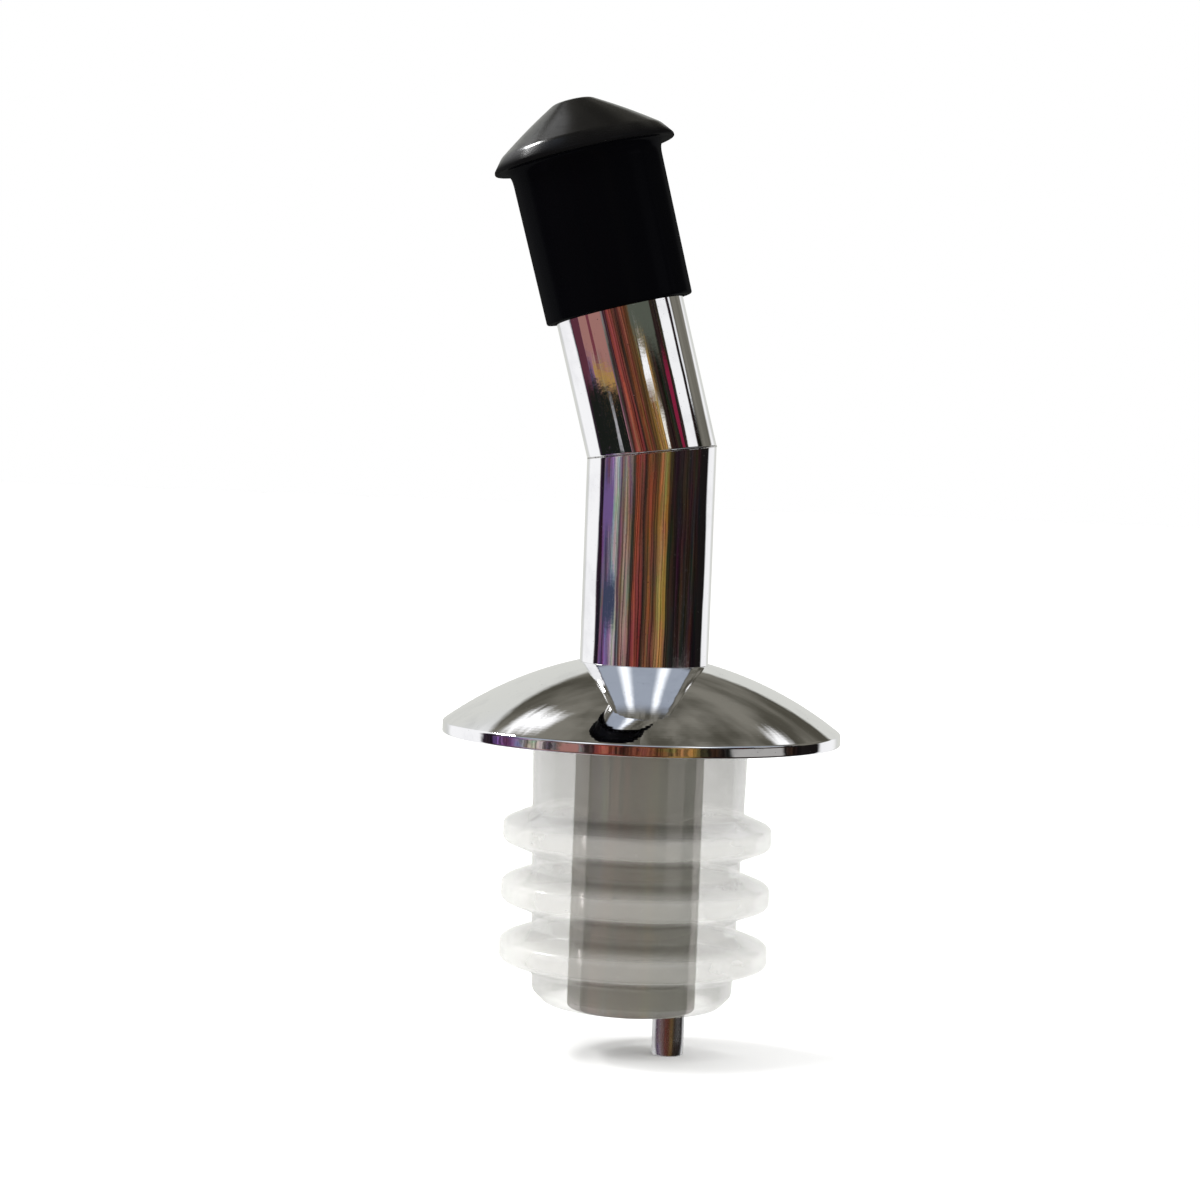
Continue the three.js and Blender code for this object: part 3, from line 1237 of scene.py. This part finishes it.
@dataclass(frozen=True)
class DustCap:
    """The black cap: a sleeve under a conical hat whose brim flares out to pull it by."""

    lean: Lean
    bore: float
    wall: float = 0.66
    draft: float = 0.12
    bore_depth: float = 12.5
    brim_drop: float = 0.4
    brim_edge: float = 0.25
    fillet: float = 1.1
    crown_inset: float = 0.75
    crown_rise: float = 1.2
    peak_radius: float = 1.4
    cone_bulge: float = 0.1
    cone_steps: int = 9
    ceiling_round: float = 0.4
    bore_round: float = 0.1
    mouth_round: float = 0.2
    brim_round: float = 0.12
    crown_round: float = 0.22
    cone_round: float = 0.15
    peak_round: float = 0.6

    def outline(self, reach: Reach) -> Array:
        """The cap's outline, from the bore's ceiling round the mouth and up to the peak.

        The hat is a cone from the crown to the peak, and bulges by b sin(pi t) on the way.

        Args:
            reach: The cap's size in the leaning frame.

        Returns:
            The outline's points, from the axis to the axis.
        """
        mouth = self.bore + self.wall
        shoulder = mouth + self.draft
        under = reach.low + self.bore_depth - self.brim_drop
        edge = reach.radius - self.crown_inset
        share = np.linspace(0.0, 1.0, self.cone_steps)[1:-1]
        crown = under + self.crown_rise
        radius = edge + (self.peak_radius - edge) * share
        height = crown + (reach.high - crown) * share + self.cone_bulge * np.sin(np.pi * share)
        corners = [
            (0.0, reach.low + self.bore_depth, 0.0),
            (self.bore, reach.low + self.bore_depth, self.ceiling_round),
            (self.bore, reach.low, self.bore_round),
            (mouth, reach.low, self.mouth_round),
            (shoulder, under, self.fillet),
            (reach.radius, under, self.brim_round),
            (reach.radius, under + self.brim_edge, self.brim_round),
            (edge, crown, self.crown_round),
            *[(r, h, self.cone_round) for r, h in zip(radius, height)],
            (self.peak_radius, reach.high, self.peak_round),
            (0.0, reach.high, 0.0),
        ]
        return rounded_outline(corners, closed=False)

    def moulding(self) -> bpy.types.Object:
        """Makes the whole cap in one closed shell.

        Returns:
            The piece.
        """
        reach = Reach.of("dust_cap", self.lean)
        grid = self.lean.place(turned(self.outline(reach)))
        return build_mesh("cap_moulding", grid, closed_outline=False)

    def build(self) -> None:
        """Makes and dresses the cap."""
        dress(self.moulding(), SatinRubber(lean=self.lean), Body.CAP, ["dust_cap"])


# ---- Studio -----------------------------------------------------------------


@dataclass(frozen=True)
class Panel:
    """Something in the room that polished metal mirrors, by its bearing and height in degrees.

    Bearings are counted from the front, positive to the right. A leaning panel's heights
    are counted from the slanting line on which the leaning nozzle mirrors the horizon.
    """

    left: float
    right: float
    low: float
    high: float
    colour: Colour
    soft: float = 1.0
    leaning: bool = False


@dataclass(frozen=True)
class View:
    """A direction from the object into the room, as signals."""

    bearing: Signal
    height: Signal
    right: Signal
    swung: Signal
    front: Signal


@dataclass(frozen=True)
class Room:
    """What surrounds the object: white paper behind it and a dim, coloured room in front."""

    wobble: float = 10.0
    slant: float = 14.9
    fill: float = 1.14
    soft_height: float = 0.5
    front_edge: Span = (98.0, 106.0)
    drift: Pattern = Pattern(1.0, stretch=(0.03, 0.5, 1.0))

    lines: Pattern = Pattern(0.5, 4.0, 0.7, (1.0, 0.25, 1.0))
    lined: Span = (0.36, 0.64)
    line_dark: Colour = (0.30, 0.28, 0.28)
    line_light: Colour = (1.55, 1.5, 1.45)
    tint: Pattern = Pattern(1.0, 4.0, stretch=(0.09, 0.7, 1.0))
    tint_gain: Colour = (2.6, 2.0, 2.0)
    tint_drop: Colour = (0.3, 0.0, 0.0)
    tint_least: Colour = (0.1, 0.1, 0.1)

    sky_heights: Span = (23.0, 31.0)
    sky_dim: Colour = (0.36, 0.40, 0.47)
    sky_bright: Colour = (1.25, 1.3, 1.36)
    sky_lamps: Corner = (30.0, 50.0, 9.0)
    paper: Colour = (0.68, 0.685, 0.65)
    paper_bearings: Span = (140.0, 160.0)
    paper_heights: Span = (26.5, 30.0)
    paper_slant: float = 25.0
    ceiling_dark: Colour = (0.075, 0.070, 0.055)
    ceiling_light: Colour = (0.21, 0.20, 0.17)
    ceiling_heights: Span = (58.0, 66.0)
    clouds: Pattern = Pattern(1.0, 3.0, stretch=(0.03, 0.06, 1.0))
    clouded: Span = (0.35, 0.65)

    # Bearings all round, and the colours met there at eye level.
    EYE_LEVEL = (
        (-180.0, (0.60, 0.61, 0.62)),
        (-150.0, (0.68, 0.69, 0.70)),
        (-143.0, (0.97, 0.97, 0.98)),
        (-106.0, (0.97, 0.97, 0.98)),
        (-103.0, (0.030, 0.018, 0.035)),
        (-94.0, (0.012, 0.008, 0.014)),
        (-90.0, (0.15, 0.09, 0.19)),
        (-80.0, (0.09, 0.045, 0.11)),
        (-72.0, (0.28, 0.22, 0.36)),
        (-62.0, (0.48, 0.45, 0.44)),
        (-55.0, (0.11, 0.06, 0.10)),
        (-46.0, (0.27, 0.18, 0.17)),
        (-36.0, (0.19, 0.13, 0.13)),
        (-29.0, (0.035, 0.02, 0.02)),
        (-25.0, (0.22, 0.06, 0.042)),
        (-14.0, (0.17, 0.045, 0.034)),
        (-10.0, (0.028, 0.017, 0.014)),
        (-2.0, (0.19, 0.062, 0.035)),
        (8.0, (0.085, 0.036, 0.020)),
        (14.0, (0.12, 0.070, 0.030)),
        (19.0, (0.30, 0.19, 0.065)),
        (29.0, (0.24, 0.145, 0.050)),
        (34.0, (0.045, 0.028, 0.018)),
        (41.0, (0.018, 0.012, 0.011)),
        (80.0, (0.032, 0.023, 0.019)),
        (100.0, (0.011, 0.009, 0.009)),
        (120.0, (0.008, 0.007, 0.007)),
        (124.0, (0.92, 0.92, 0.93)),
        (146.0, (0.96, 0.96, 0.97)),
        (152.0, (0.70, 0.71, 0.72)),
        (180.0, (0.60, 0.61, 0.62)),
    )

    # Single things that show in the nozzle, then in the stem, the collar's rim and its dome.
    PANELS = (
        Panel(-98.0, -36.0, -1.0, 1.15, (0.010, 0.012, 0.010), 0.4, True),
        Panel(-56.0, -49.0, -0.2, 0.7, (0.40, 0.40, 0.42), 0.7, True),
        Panel(-72.0, -36.0, 1.15, 1.55, (0.40, 0.24, 0.06), 0.4, True),
        Panel(-84.0, -36.0, 1.6, 5.0, (0.34, 0.165, 0.145), 0.8, True),
        Panel(-66.0, -60.0, 1.5, 5.0, (0.16, 0.04, 0.055), 0.8, True),
        Panel(-102.0, -84.0, 1.1, 5.0, (0.10, 0.03, 0.045), 0.8, True),
        Panel(16.0, 27.0, 1.5, 2.4, (1.0, 1.0, 1.0), 0.5, True),
        Panel(27.0, 34.0, 0.2, 1.0, (0.95, 0.93, 0.86), 0.5, True),
        Panel(12.0, 50.0, 2.5, 5.0, (0.085, 0.095, 0.075), 1.0, True),
        Panel(54.0, 61.0, -1.0, 2.4, (0.22, 0.015, 0.045), 0.8, True),
        Panel(68.0, 90.0, -1.0, 5.0, (0.94, 0.94, 0.95), 1.2, True),
        Panel(97.0, 102.0, 1.4, 5.0, (0.80, 0.81, 0.83), 0.8, True),
        Panel(-92.0, -70.0, -1.3, -0.3, (0.15, 0.09, 0.24), 0.5),
        Panel(-86.0, -60.0, -3.3, -2.3, (0.045, 0.055, 0.10), 0.6),
        Panel(52.0, 88.0, -9.0, -4.7, (0.40, 0.39, 0.38), 2.0),
        Panel(-152.0, -141.0, 44.0, 56.0, (1.15, 1.15, 1.15), 4.0),
        Panel(134.0, 145.0, 40.0, 46.0, (1.1, 1.1, 1.1), 4.0),
    )

    def build(self, world: bpy.types.World) -> None:
        """Gives the world plain white light, and the room to mirror.

        Args:
            world: The world to fill.
        """
        world.use_nodes = True
        shader = Shader(world.node_tree)
        view = self.look(shader)
        stops = [((at + HALF_TURN) / FULL_TURN, colour) for at, colour in self.EYE_LEVEL]
        colour = shader.ramp((view.swung + HALF_TURN) / FULL_TURN, stops)
        colour = shader.mix(1.0, colour, self.clutter(shader, view), "MULTIPLY")
        colour = self.hang(shader, self.overhead(shader, colour, view), view)
        glossy = shader.node("ShaderNodeLightPath", output="Is Glossy Ray")
        sight = shader.node("ShaderNodeLightPath", output="Is Camera Ray")
        plain = shader.mix(sight, (self.fill,) * 3, (1.0, 1.0, 1.0))
        seen = shader.mix(glossy, plain, colour)
        background = shader.node("ShaderNodeBackground", {"Color": seen, "Strength": 1.0})
        shader.node("ShaderNodeOutputWorld", {"Surface": background})

    def look(self, shader: Shader) -> View:
        """Turns a direction (x, y, z) into a bearing atan2(x, -y) and a height asin(z).

        Args:
            shader: The world's tree.

        Returns:
            The view, whose swung bearing wavers a little as walls and goods do.
        """
        x, y, z = shader.parts(shader.node("ShaderNodeTexCoord", output="Generated"))
        degrees = math.degrees(1.0)
        bearing = shader.math("ARCTAN2", x, -y) * degrees
        height = shader.math("ARCSINE", z) * degrees
        drift = shader.noise(self.flat(shader, bearing, height), self.drift)
        swung = bearing + (drift - 0.5) * self.wobble
        front = 1 - shader.math("ABSOLUTE", bearing).rise(*self.front_edge)
        return View(bearing, height, x, swung, front)

    def flat(self, shader: Shader, across: Signal, up: Signal) -> Signal:
        """A vector of two measures, for a pattern laid out on the room's walls."""
        return shader.node("ShaderNodeCombineXYZ", {0: across, 1: up})

    def clutter(self, shader: Shader, view: View) -> Signal:
        """Fine upright lines and patches of tint, on the coloured side of the room only.

        Args:
            shader: The world's tree.
            view: The direction.

        Returns:
            A tint to multiply the room's colours by.
        """
        wall = self.flat(shader, view.swung, view.height)
        lines = shader.noise(wall, self.lines).rise(*self.lined)
        shade = shader.mix(lines, self.line_dark, self.line_light)
        tint = shader.noise(wall, self.tint, "Color")
        tint = shader.vector("MULTIPLY", tint, self.tint_gain)
        tint = shader.vector("SUBTRACT", tint, self.tint_drop)
        tint = shader.vector("MAXIMUM", tint, self.tint_least)
        shade = shader.mix(1.0, shade, tint, "MULTIPLY")
        return shader.mix(view.front, (1.0, 1.0, 1.0), shade)

    def overhead(self, shader: Shader, colour: Signal, view: View) -> Signal:
        """Adds what lies above eye level: pale light in front, paper behind and a dim ceiling.

        Args:
            shader: The world's tree.
            colour: The colours at eye level.
            view: The direction.

        Returns:
            The colours of the whole room.
        """
        turn = shader.math("ABSOLUTE", view.bearing)
        back = 1 - view.front
        lamps = turn.between(*self.sky_lamps)
        sky = shader.mix(lamps, self.sky_dim, self.sky_bright)
        colour = shader.mix(view.front * view.height.rise(*self.sky_heights), colour, sky)
        colour = shader.mix(back * turn.rise(*self.paper_bearings), colour, self.paper)
        clouds = shader.noise(self.flat(shader, view.bearing, view.height), self.clouds)
        ceiling = shader.mix(clouds.rise(*self.clouded), self.ceiling_dark, self.ceiling_light)
        paper_top = (view.height + view.right * self.paper_slant).rise(*self.paper_heights)
        colour = shader.mix(back * paper_top, colour, ceiling)
        return shader.mix(view.height.rise(*self.ceiling_heights), colour, ceiling)

    def hang(self, shader: Shader, colour: Signal, view: View) -> Signal:
        """Hangs the panels in the room.

        Args:
            shader: The world's tree.
            colour: The room's colours.
            view: The direction.

        Returns:
            The colours with the panels over them.
        """
        along = view.height - view.right * self.slant
        for panel in self.PANELS:
            level = along if panel.leaning else view.height
            inside = view.swung.between(panel.left, panel.right, panel.soft)
            inside = inside * level.between(panel.low, panel.high, panel.soft * self.soft_height)
            colour = shader.mix(inside, colour, panel.colour)
        return colour


@dataclass(frozen=True)
class SoftBox:
    """A square lamp aimed at the object."""

    name: str
    place: Corner
    side: float
    power: float
    mirrored: bool = False

    def build(self, target: Vector) -> None:
        """Hangs the lamp and aims it.

        Args:
            target: The point that it faces, in metres.
        """
        lamp = bpy.data.lights.new(self.name, "AREA")
        lamp.shape = "SQUARE"
        lamp.size = self.side * MM
        lamp.energy = self.power
        holder = bpy.data.objects.new(self.name, lamp)
        holder.visible_glossy = self.mirrored
        place = Vector(self.place) * MM
        aim = (target - place).to_track_quat("-Z", "Y")
        holder.matrix_world = Matrix.LocRotScale(place, aim, None)
        bpy.context.scene.collection.objects.link(holder)


@dataclass(frozen=True)
class Studio:
    """Floor, lamps, room and camera."""

    floor_side: float = 6000.0
    eye: Corner = (-4.62, -217.15, 21.04)
    pan: float = math.radians(-0.27)
    tilt: float = math.radians(2.76)
    roll: float = math.radians(2.16)
    lens: float = 83.8
    sensor: float = 36.0
    near: float = 10.0

    LAMPS = (
        SoftBox("key_softbox", (-260.0, -160.0, 330.0), 160.0, 1.1),
        SoftBox("fill_softbox", (330.0, -120.0, 240.0), 120.0, 0.5),
        SoftBox("rim_lamp", (-240.0, 160.0, 300.0), 64.0, 0.90, True),
    )

    def floor(self, height: float) -> None:
        """Lays the floor.

        Args:
            height: Its height in millimetres.
        """
        half = self.floor_side / 2
        corners = [(-half, -half), (half, -half), (half, half), (-half, half)]
        points = [(x * MM, y * MM, height * MM) for x, y in corners]
        mesh = bpy.data.meshes.new("studio_floor")
        mesh.from_pydata(points, [], [(0, 1, 2, 3)])
        mesh.materials.append(PaleFloor().material("floor_finish"))
        laid = bpy.data.objects.new("studio_floor", mesh)
        laid.visible_glossy = False
        bpy.context.scene.collection.objects.link(laid)
        laid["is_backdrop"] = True

    def camera(self) -> None:
        """Sets the camera up: level bearings first, then its tilt, then its roll."""
        right = Vector((math.cos(self.pan), math.sin(self.pan), 0.0))
        level = Vector((-math.sin(self.pan), math.cos(self.pan), 0.0))
        ahead = level * math.cos(self.tilt) - Vector((0.0, 0.0, math.sin(self.tilt)))
        above = level * math.sin(self.tilt) + Vector((0.0, 0.0, math.cos(self.tilt)))
        across = right * math.cos(self.roll) + above * math.sin(self.roll)
        up = above * math.cos(self.roll) - right * math.sin(self.roll)
        turn = Matrix((across, up, -ahead)).transposed().to_4x4()
        data = bpy.data.cameras.new("camera")
        data.lens = self.lens
        data.sensor_width = self.sensor
        data.clip_start = self.near * MM
        made = bpy.data.objects.new("camera", data)
        made.matrix_world = Matrix.Translation(Vector(self.eye) * MM) @ turn
        bpy.context.scene.collection.objects.link(made)
        bpy.context.scene.camera = made

    def build(self, low: Vector, high: Vector) -> None:
        """Makes the whole studio round the object's box.

        Args:
            low: The box's lowest corner, in metres.
            high: Its highest corner.
        """
        scene = bpy.context.scene
        scene.view_settings.view_transform = "Standard"
        scene.world = bpy.data.worlds.new("studio")
        Room().build(scene.world)
        self.floor(low.z / MM)
        for lamp in self.LAMPS:
            lamp.build((low + high) / 2)
        self.camera()
        LOG.info("studio: floor, %d lamps, room and camera", len(self.LAMPS))


# ---- Assembly ---------------------------------------------------------------


def main() -> None:
    """Builds the studio and every piece in order."""
    logging.basicConfig(level=logging.INFO, format="%(name)s: %(message)s")
    low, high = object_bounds()
    Studio().build(low, high)
    lean = find_lean()
    tube = Reach.of("stem_tube").radius
    assemblies = [
        Tubework(lean),
        DripCollar(bore=tube + PUSH_FIT),
        Stopper(bore=tube + PUSH_FIT),
        Breather(lean),
        DustCap(lean, bore=tube + CAP_CLEARANCE),
    ]
    for assembly in assemblies:
        assembly.build()


if __name__ == "__main__":
    main()
